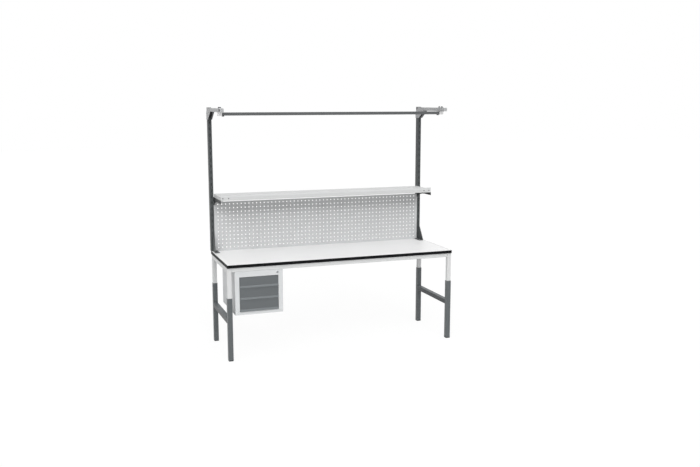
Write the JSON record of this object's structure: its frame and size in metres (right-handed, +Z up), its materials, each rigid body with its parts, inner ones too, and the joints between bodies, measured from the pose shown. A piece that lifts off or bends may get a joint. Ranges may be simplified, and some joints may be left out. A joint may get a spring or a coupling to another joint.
{
  "type": "assembly workbench",
  "caption": "Industrial assembly workbench on height-adjustable legs, with a perforated back board, a shelf, an overhead tool rail and a hanging cabinet of three drawers.",
  "frame": {"origin": "on the floor, midway across the width and midway between the tabletop's front edge and the rearmost bracket", "axes": "+X to the right of someone seated at the bench, +Y towards the back board, +Z up"},
  "size_m": [2.0056, 0.7298, 2.0513],
  "materials": {
    "laminate": "satin",
    "edge_band": "satin",
    "white_paint": "satin",
    "grey_paint": "satin",
    "dark_paint": "satin",
    "light_paint": "satin",
    "arm_paint": "satin",
    "zinc": "satin",
    "lock_metal": "polished",
    "foot_plastic": "matte"
  },
  "bodies": {
    "bench": {"tabletop_panel": "laminate", "tabletop_edge_band": "edge_band", "front_rail": "white_paint", "rear_rail": "white_paint", "end_rail_left": "white_paint", "end_rail_right": "white_paint", "leg_tube_front_left": "white_paint", "leg_tube_rear_left": "white_paint", "leg_tube_front_right": "white_paint", "leg_tube_rear_right": "white_paint", "upright_left": "dark_paint", "upright_right": "dark_paint", "upright_foot_left": "dark_paint", "upright_foot_right": "dark_paint", "pegboard_left": "light_paint", "pegboard_right": "light_paint", "shelf": "white_paint", "shelf_bracket_left": "dark_paint", "shelf_bracket_right": "dark_paint", "arm_saddle_left": "arm_paint", "arm_saddle_right": "arm_paint", "arm_left": "arm_paint", "arm_right": "arm_paint", "cabinet_case": "white_paint", "cabinet_hanger": "white_paint", "lock_barrel": "lock_metal", "runner_top_left": "zinc", "runner_top_right": "zinc", "runner_middle_left": "zinc", "runner_middle_right": "zinc", "runner_bottom_left": "zinc", "runner_bottom_right": "zinc"},
    "tool_rail_set": {"tool_rail": "dark_paint", "rail_clamp_left": "light_paint", "rail_clamp_right": "light_paint", "rail_clamp_bolt_left": "zinc", "rail_clamp_bolt_right": "zinc", "rail_stop_left": "dark_paint", "rail_stop_right": "dark_paint"},
    "top_drawer": {"drawer_front_top": "grey_paint", "drawer_box_top": "grey_paint"},
    "middle_drawer": {"drawer_front_middle": "grey_paint", "drawer_box_middle": "grey_paint"},
    "bottom_drawer": {"drawer_front_bottom": "grey_paint", "drawer_box_bottom": "grey_paint"},
    "lock": {"lock_plug": "lock_metal"},
    "left_legs": {"crossbar_left": "grey_paint", "sleeve_front_left": "grey_paint", "foot_cap_front_left": "foot_plastic", "clamp_screw_front_left": "zinc", "sleeve_rear_left": "grey_paint", "foot_cap_rear_left": "foot_plastic", "clamp_screw_rear_left": "zinc"},
    "right_legs": {"crossbar_right": "grey_paint", "sleeve_front_right": "grey_paint", "foot_cap_front_right": "foot_plastic", "clamp_screw_front_right": "zinc", "sleeve_rear_right": "grey_paint", "foot_cap_rear_right": "foot_plastic", "clamp_screw_rear_right": "zinc"}
  },
  "joints": [
    {"name": "left_legs_slide", "type": "slide", "parent": "bench", "child": "left_legs", "axis": [0, 0, -1], "range_m": [-0.1, 0.15]},
    {"name": "right_legs_slide", "type": "slide", "parent": "bench", "child": "right_legs", "axis": [0, 0, -1], "range_m": [-0.1, 0.15]},
    {"name": "tool_rail_slide", "type": "slide", "parent": "bench", "child": "tool_rail_set", "axis": [0, -1, 0], "range_m": [-0.22, 0.055]},
    {"name": "top_drawer_slide", "type": "slide", "parent": "bench", "child": "top_drawer", "axis": [0, -1, 0], "range_m": [0, 0.38]},
    {"name": "middle_drawer_slide", "type": "slide", "parent": "bench", "child": "middle_drawer", "axis": [0, -1, 0], "range_m": [0, 0.38]},
    {"name": "bottom_drawer_slide", "type": "slide", "parent": "bench", "child": "bottom_drawer", "axis": [0, -1, 0], "range_m": [0, 0.38]},
    {"name": "lock_turn", "type": "hinge", "parent": "bench", "child": "lock", "pos_m": [-0.583, -0.3479, 0.7164], "axis": [0, 1, 0], "range_deg": [0, 90]}
  ],
  "couplings": [
    {"joint": "right_legs_slide", "follows": "left_legs_slide", "ratio": 1}
  ]
}
